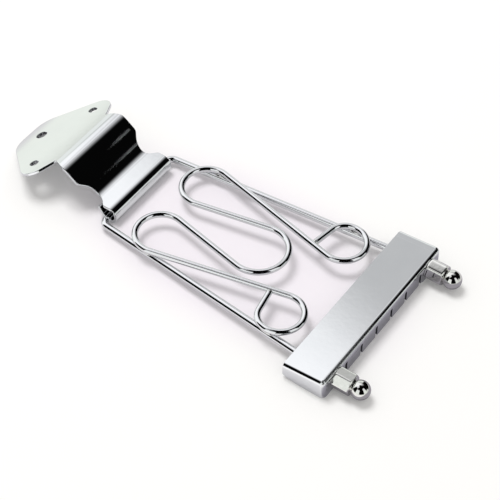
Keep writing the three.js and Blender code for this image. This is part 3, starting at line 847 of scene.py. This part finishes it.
def cover_outline():
    """The crossbar's flat pattern: end flanges with their raised feet, round corners, and the slotted
    flange with its arch and six slots open at the lower edge."""
    turn = np.linspace(0, math.pi / 2, 30)
    reach = flange_length(COVER_INNER_X + COVER_FOLD_R * np.sin(turn), 0)
    corner_x, corner_y = COVER_INNER_X + reach * np.sin(turn), COVER_INNER_HALF + reach * np.cos(turn)
    foot_x = COVER_OPEN_X + FOOT_RUN
    half = [
        (COVER_OPEN_X, -COVER_INNER_HALF - flange_length(COVER_OPEN_X, FOOT_RISE), OPEN_CORNER_R),
        (foot_x, -COVER_INNER_HALF - flange_length(foot_x, 0), FOOT_R),
    ]
    half += [(x, -y, 0) for x, y in zip(corner_x, corner_y)]
    foot, arch, slot_top = (
        COVER_INNER_X + flange_length(COVER_FACE_X, z) for z in (0, ARCH_RISE, SLOT_TOP_Z)
    )
    half += [(foot, -ARCH_HALF, LIP_R), (arch, -ARCH_HALF + ARCH_LEAN, ARCH_R)]
    for y in SLOT_Y[:3]:
        half += [
            (arch, y - SLOT_HALF, LIP_R), (slot_top, y - SLOT_HALF, SLOT_HALF - 0.01),
            (slot_top, y + SLOT_HALF, SLOT_HALF - 0.01), (arch, y + SLOT_HALF, LIP_R),
        ]
    return rounded_outline(half + [(x, -y, r) for x, y, r in half[::-1]], spacing=0.45, arc_step=12.0)


def cover_lattice():
    """Pattern points of the crossbar: rows and columns that are close together across the folds, and rings
    round the two corners."""
    fold = np.linspace(0, FOLD_LENGTH, 16)
    far_out = np.arange(FOLD_LENGTH + 0.7, 14, 0.9)
    past_inner = np.concatenate([fold, far_out])
    rows = [np.arange(COVER_OPEN_X + 0.8, COVER_INNER_X - 0.3, 1.2), COVER_INNER_X + past_inner]
    half = np.concatenate([np.arange(0.6, COVER_INNER_HALF - 0.3, 1.2), COVER_INNER_HALF + past_inner])
    straight = grid_points(np.concatenate(rows), np.concatenate([-half[::-1], half]))
    in_corner = (straight[:, 0] > COVER_INNER_X + 1e-6) & (np.abs(straight[:, 1]) > COVER_INNER_HALF + 1e-6)
    reach, turn = grid_points(np.concatenate([fold[2::2], far_out]), np.radians(np.arange(4.5, 90, 4.5))).T
    corner = np.column_stack([COVER_INNER_X + reach * np.sin(turn), COVER_INNER_HALF + reach * np.cos(turn)])
    return np.concatenate([straight[~in_corner], corner, corner * (1, -1)])


leg_hole_x = COVER_INNER_X + flange_length(COVER_FACE_X, NUT_Z)
leg_hole_r = FRAME_WIRE_R + HOLE_CLEARANCE
cover_sheet = sheet_piece(
    [cover_outline(), *(round_hole(leg_hole_x, y, leg_hole_r) for y in (LEG_TIP_Y, -LEG_TIP_Y))],
    cover_lattice(), cover_surface, top=0.0, bottom=-COVER_SHEET, edge=COVER_EDGE_R, clear=0.15,
)
make_piece("crossbar", cover_sheet, "frame", sheet_chrome, ["crossbar_cover"])


# Nuts
NUT_TURN = np.linspace(0, 2 * math.pi, 144, endpoint=False)


def nut_rows(*rows):
    """Profile rows of a nut, each given by its X and its radius, as two numbers for each column."""
    return np.stack([np.stack(np.broadcast_arrays(x, r, NUT_TURN)[:2], axis=-1) for x, r in rows])


def mouth_rows(face_r):
    """Profile rows at a nut's end: out of the bore, over its chamfer and along the face. X is the depth from
    the face."""
    bore_r = FRAME_WIRE_R + BORE_CLEARANCE
    mouth_r = bore_r + BORE_CHAMFER
    along_face = [(0.0, mouth_r + (face_r - mouth_r) * share) for share in (0.0, 0.5, 0.94)]
    return nut_rows((0.8, bore_r), (BORE_CHAMFER, bore_r), *along_face)


def rim_rows(radius, face_r, chamfer):
    """Profile rows from the face's edge up the cone chamfer to the hexagon's radius. The cone's depth grows
    with that radius, which cuts the corners into arcs."""
    above = radius - face_r
    rise = CONE_DEPTH * above + 0.12 * chamfer
    cone = [(0.06 + rise * share, face_r + above * share) for share in (0.0, 0.25, 0.5, 0.75, 0.94)]
    return nut_rows((0.015, face_r - 0.03), *cone, (0.08 + rise, radius - 0.006), (0.15 + rise, radius))


def ball_rows(length, face_r):
    """Profile rows from a hexagon's outer face to the pole of its ball: over the face, round a small fillet
    to the short neck, and along the ball's circle."""
    middle = length + BALL_STAND
    start = math.pi - math.asin(NECK_R / BALL_R)
    neck_length = BALL_STAND + BALL_R * math.cos(start)
    face = [(length, face_r - 0.15), (length, (face_r + NECK_R) / 2), (length, NECK_R + 0.15)]
    neck = [(length + 0.06, NECK_R + 0.04)]
    neck += [(length + neck_length * share, NECK_R) for share in (0.5, 1.0)]
    sweep = np.linspace(start, 0.0, 44)[1:-1]
    return nut_rows(*face, *neck, *zip(middle + BALL_R * np.cos(sweep), BALL_R * np.sin(sweep)))


def hexagon_radius(turn, flats):
    """Distance from the middle to a hexagon's side: half the flats over the cosine of the turn from the
    nearest flat, smoothed over the corners by a high-power mean with a circle just inside the corners."""
    from_flat = (turn + math.pi / 6) % (math.pi / 3) - math.pi / 6
    side = flats / 2 / np.cos(from_flat)
    limit = flats / math.sqrt(3) - HEX_CORNER_CUT
    return (side**-40 + limit**-40) ** (-1 / 40)


def hex_nut(seat_x, centre_y, flats, length, chamfer, turned, balled):
    """Rings of a hex nut on a leg, turned so many degrees from lying with a flat on top: its seat end, a
    straight run along the hexagon, and the other end, which is the same one mirrored or has a ball. A
    profile's point is spun to X, then the radius times the cosine and sine of the turn."""
    radius = hexagon_radius(NUT_TURN - math.radians(90 + turned), flats)
    face_r = flats / 2 - FACE_INSET
    mouth, rim = mouth_rows(face_r), rim_rows(radius, face_r, chamfer)
    far_rim, far_mouth = (rows[::-1] * (-1, 1) + (length, 0) for rows in (rim, mouth))
    share = np.linspace(0, 1, 14)[1:-1, None, None]
    straight = rim[-1] + (far_rim[0] - rim[-1]) * share
    outer = ball_rows(length, face_r) if balled else far_mouth
    x, r = np.moveaxis(np.concatenate([mouth, rim, straight, far_rim, outer]), -1, 0)
    return np.stack([x, r * np.cos(NUT_TURN), r * np.sin(NUT_TURN)], axis=-1) + (seat_x, centre_y, NUT_Z)


for side_name, side in SIDES:
    rings = hex_nut(COVER_FACE_X + SEAT_GAP, side * LEG_TIP_Y, CAP_FLATS, CAP_LENGTH, CAP_CHAMFER,
                    turned=CAP_TURNS[side_name], balled=True)
    make_piece(f"ball_nut_{side_name}", closed_tube(rings), "frame", nut_chrome,
               [f"cap_nut_{side_name}"])
    rings = hex_nut(COVER_FACE_X - COVER_SHEET - SEAT_GAP - BACK_LENGTH, side * LEG_TIP_Y, BACK_FLATS,
                    BACK_LENGTH, BACK_CHAMFER, turned=0.0, balled=False)
    make_piece(f"thin_nut_{side_name}", closed_ring(rings), "frame", nut_chrome,
               [f"back_nut_{side_name}"])


# Filler metal
def filler(name, centre, lengths, heading, seed):
    """A small rounded lump: an ellipsoid whose radius is uneven by a few low waves, turned to a heading."""
    up = np.linspace(0, math.pi, 20)[1:-1, None]
    turn = np.linspace(0, 2 * math.pi, 40, endpoint=False)[None, :]
    low_waves = 0.05 * np.sin(3 * turn + seed) * np.sin(up) ** 2
    uneven = 1 + low_waves + 0.04 * np.cos(2 * up + 2 * turn + 2 * seed)
    x = lengths[0] / 2 * uneven * np.sin(up) * np.cos(turn)
    y = lengths[1] / 2 * uneven * np.sin(up) * np.sin(turn)
    z = lengths[2] / 2 * uneven * np.cos(up)
    c, s = math.cos(heading), math.sin(heading)
    rings = np.stack([c * x - s * y, s * x + c * y, z], axis=-1)[::-1] + centre
    make_piece(f"filler_{name}", closed_tube(rings), "frame", filler_chrome,
               [f"braze_{name}"])


for side_name, side in SIDES:
    for loop_name, (x, y, r) in (("big_loop", BIG_LOOP), ("small_loop", SMALL_LOOP)):
        centre = (x, side * (y + r + leg_y(x)) / 2, leg_height(x) + FRAME_WIRE_R + WIRE_GAP / 2)
        filler(f"{loop_name}_{side_name}", centre, LOOP_FILLER, side * leg_angle, x + side)
    end_heading = math.radians(WIRE_END_HEADING)
    x, y = scroll_half[-1] + 0.2 * np.array([math.cos(end_heading), math.sin(end_heading)])
    centre = (x, side * y, leg_height(scroll_half[-1, 0]) + SCROLL_LIFT)
    filler(f"wire_end_{side_name}", centre, WIRE_END_FILLER, 0.0, side)


# Floor
def floor_finish():
    """A white table with a painted shade, a little lavender, inside the wire frame. The chrome sees the
    table close by as shaded, most of all before the slots, and farther out as a greenish white."""
    white, creamy, lavender = (0.865, 0.865, 0.85, 1), (0.87, 0.865, 0.86, 1), (0.83, 0.79, 0.835, 1)
    shaded, lit, slot_shade = (0.61, 0.60, 0.62, 1), (0.95, 0.945, 0.96, 1), (0.28, 0.265, 0.31, 1)
    greenish = (0.76, 0.80, 0.75, 1)
    material = bpy.data.materials.new("white_table")
    shader = NodeTree(material)
    where = shader.node("ShaderNodeTexCoord", output="Object")
    x, y, _ = millimetres(shader, where)
    squeezed = shader.node("ShaderNodeMapping", {}, {
        "Vector": where, "Location": (-0.18, 0.0, 0.0), "Scale": (16.0, 30.0, 1.0),
    })
    outside_frame = shader.step_up(shader.length(squeezed), 0.75, 1.5)
    plain = shader.blend(shader.noise(where, 6.0, 2.0, 0.5), white, creamy)
    # Inside the wire frame the table is a little darker and lavender: a painted shade.
    table = shader.blend(outside_frame, lavender, plain)
    past_near_end = shader.step_down(y, -COVER_HALF - 8.0, -COVER_HALF - 0.5)
    before_slots = shader.step_up(x, COVER_FACE_X - 1.0, COVER_FACE_X + 0.5)
    before_slots = before_slots * shader.step_down(abs(y), COVER_HALF + 1.0, COVER_HALF + 6.0)
    close = shader.blend(before_slots, shader.blend(past_near_end, shaded, lit), slot_shade)
    reflected = shader.blend(shader.step_up(shader.length(where), 0.12, 0.24), close, greenish)
    seen = shader.ray("Camera")
    mirrored = shader.ray("Glossy")
    matt = shader.node("ShaderNodeBsdfDiffuse", {}, {"Color": shader.blend(mirrored, table, reflected)})
    faint = (seen + mirrored) * 0.08
    glow = shader.node("ShaderNodeEmission", {}, {"Color": (1, 1, 1, 1), "Strength": faint})
    both = shader.node("ShaderNodeAddShader", {}, {0: matt, 1: glow})
    shader.node("ShaderNodeOutputMaterial", {}, {"Surface": both})
    return material


floor_mesh = bpy.data.meshes.new("floor")
floor_mesh.from_pydata([(-4, -4, 0), (4, -4, 0), (4, 4, 0), (-4, 4, 0)], [], [(0, 1, 2, 3)])
floor_mesh.materials.append(floor_finish())
floor = bpy.data.objects.new("floor", floor_mesh)
bpy.context.scene.collection.objects.link(floor)


# Studio
def direction(azimuth, elevation):
    """The unit vector at an azimuth from +X towards +Y and an elevation above the table, in degrees."""
    a, e = math.radians(azimuth), math.radians(elevation)
    return Vector((math.cos(a) * math.cos(e), math.sin(a) * math.cos(e), math.sin(e)))


class Studio(NodeTree):
    """The room that the chrome mirrors, drawn by azimuth and elevation in degrees."""

    def __init__(self, world):
        super().__init__(world)
        where = self.node("ShaderNodeTexCoord", output="Generated")
        x, y, z = (self.dot(where, tuple(direction(*way))) for way in ((0, 0), (90, 0), (0, 90)))
        self.azimuth = self.maths("ARCTAN2", y, x) * math.degrees(1)
        self.elevation = self.maths("ARCSINE", z) * math.degrees(1)

    def aside(self, azimuth):
        """Degrees to the left of an azimuth, from -180 to 180."""
        return self.maths("WRAP", self.azimuth - azimuth, 180.0, -180.0)

    def panel(self, azimuths, elevations, soft):
        """1 within a range of azimuths and a range of elevations, and 0 outside, with soft edges."""
        middle, half = sum(azimuths) / 2, (azimuths[1] - azimuths[0]) / 2
        low, high = elevations
        wide = self.step_down(abs(self.aside(middle)), half - soft, half + soft)
        above = self.step_up(self.elevation, low - soft, low + soft)
        return wide * above * self.step_down(self.elevation, high - soft, high + soft)

    def room(self):
        """Brightness of the room in each direction: pale panels behind the object, above it on both sides,
        beside the camera and low on the right, with darkness between. The back panel has a grey stripe
        with a slanted upper edge, and is brighter above that edge."""
        lean = self.aside(154) + self.elevation
        grey_stripe = self.panel((90, 148), (29, 51), 4.0) * self.step_down(lean, 18.5, 23.5)
        back_tone = 0.95 - 0.35 * grey_stripe + 0.20 * self.step_up(lean, 21.0, 26.0)
        back = self.panel((104, 204), (-8, 70), 3.0) * back_tone
        upper_left = self.panel((196, 238), (52, 76), 3.0) * 0.8
        upper_right = self.panel((20, 106), (51, 74), 7.0) * self.step_up(self.aside(0), 56.0, 118.0) * 0.85
        camera_left = self.panel((247.5, 287), (-4, 46), 1.2)
        camera_right = self.panel((340, 371), (-4, 59), 2.0) * 0.95
        low_right = self.panel((365, 396), (-4, 18), 1.5) * 0.75
        return back.most(upper_left).most(upper_right).most(camera_left).most(camera_right).most(low_right)


def light_world():
    """The world: the room as chrome mirrors it, a plain soft light for all else, and a white background.
    The mirrored room is greenish low down and bluish high up."""
    greenish, bluish, warm = (0.965, 1.0, 0.975, 1), (0.975, 0.98, 1.0, 1), (1.0, 0.985, 0.97, 1)
    world = bpy.data.worlds.new("studio")
    bpy.context.scene.world = world
    studio = Studio(world)
    seen = studio.ray("Camera")
    mirrored = studio.ray("Glossy")
    diffuse = studio.ray("Diffuse")
    mirrored_tint = studio.blend(studio.step_up(studio.elevation, 20.0, 50.0), greenish, bluish)
    background = studio.node("ShaderNodeBackground", {}, {
        "Color": studio.blend(diffuse, mirrored_tint, warm),
        "Strength": seen + diffuse * 0.63 + mirrored * (0.002 + studio.room()),
    })
    studio.node("ShaderNodeOutputWorld", {}, {"Surface": background})


def soft_lamp(name, azimuth, elevation, distance, size, power):
    """A square lamp that looks at the object from a direction. Chrome doesn't mirror it, as the room's
    panels stand for it there."""
    lamp = bpy.data.lights.new(name, "AREA")
    lamp.shape, lamp.size, lamp.energy = "SQUARE", size, power
    holder = bpy.data.objects.new(name, lamp)
    holder.location = direction(azimuth, elevation) * distance
    holder.rotation_mode = "QUATERNION"
    holder.rotation_quaternion = direction(azimuth, elevation).to_track_quat("Z", "Y")
    holder.visible_glossy = False
    bpy.context.scene.collection.objects.link(holder)


light_world()
soft_lamp("key_lamp", azimuth=168, elevation=70, distance=2.0, size=0.85, power=21.0)

# Camera, with its azimuth from the near side towards the string side
CAMERA_AZIMUTH, CAMERA_ELEVATION, CAMERA_DISTANCE = 35.62, 49.27, 0.67897
CAMERA_TARGET = (0.01677, 0.00263, 0.0)
away = direction(CAMERA_AZIMUTH - 90, CAMERA_ELEVATION)
camera_data = bpy.data.cameras.new("camera")
camera_data.lens, camera_data.sensor_width = 122.8, 36.0
camera_data.clip_start, camera_data.clip_end = 0.01, 50.0
camera = bpy.data.objects.new("camera", camera_data)
camera.rotation_mode = "QUATERNION"
camera.location = Vector(CAMERA_TARGET) + away * CAMERA_DISTANCE
camera.rotation_quaternion = away.to_track_quat("Z", "Y")
bpy.context.scene.collection.objects.link(camera)
bpy.context.scene.camera = camera
bpy.context.scene.view_settings.view_transform = "Standard"
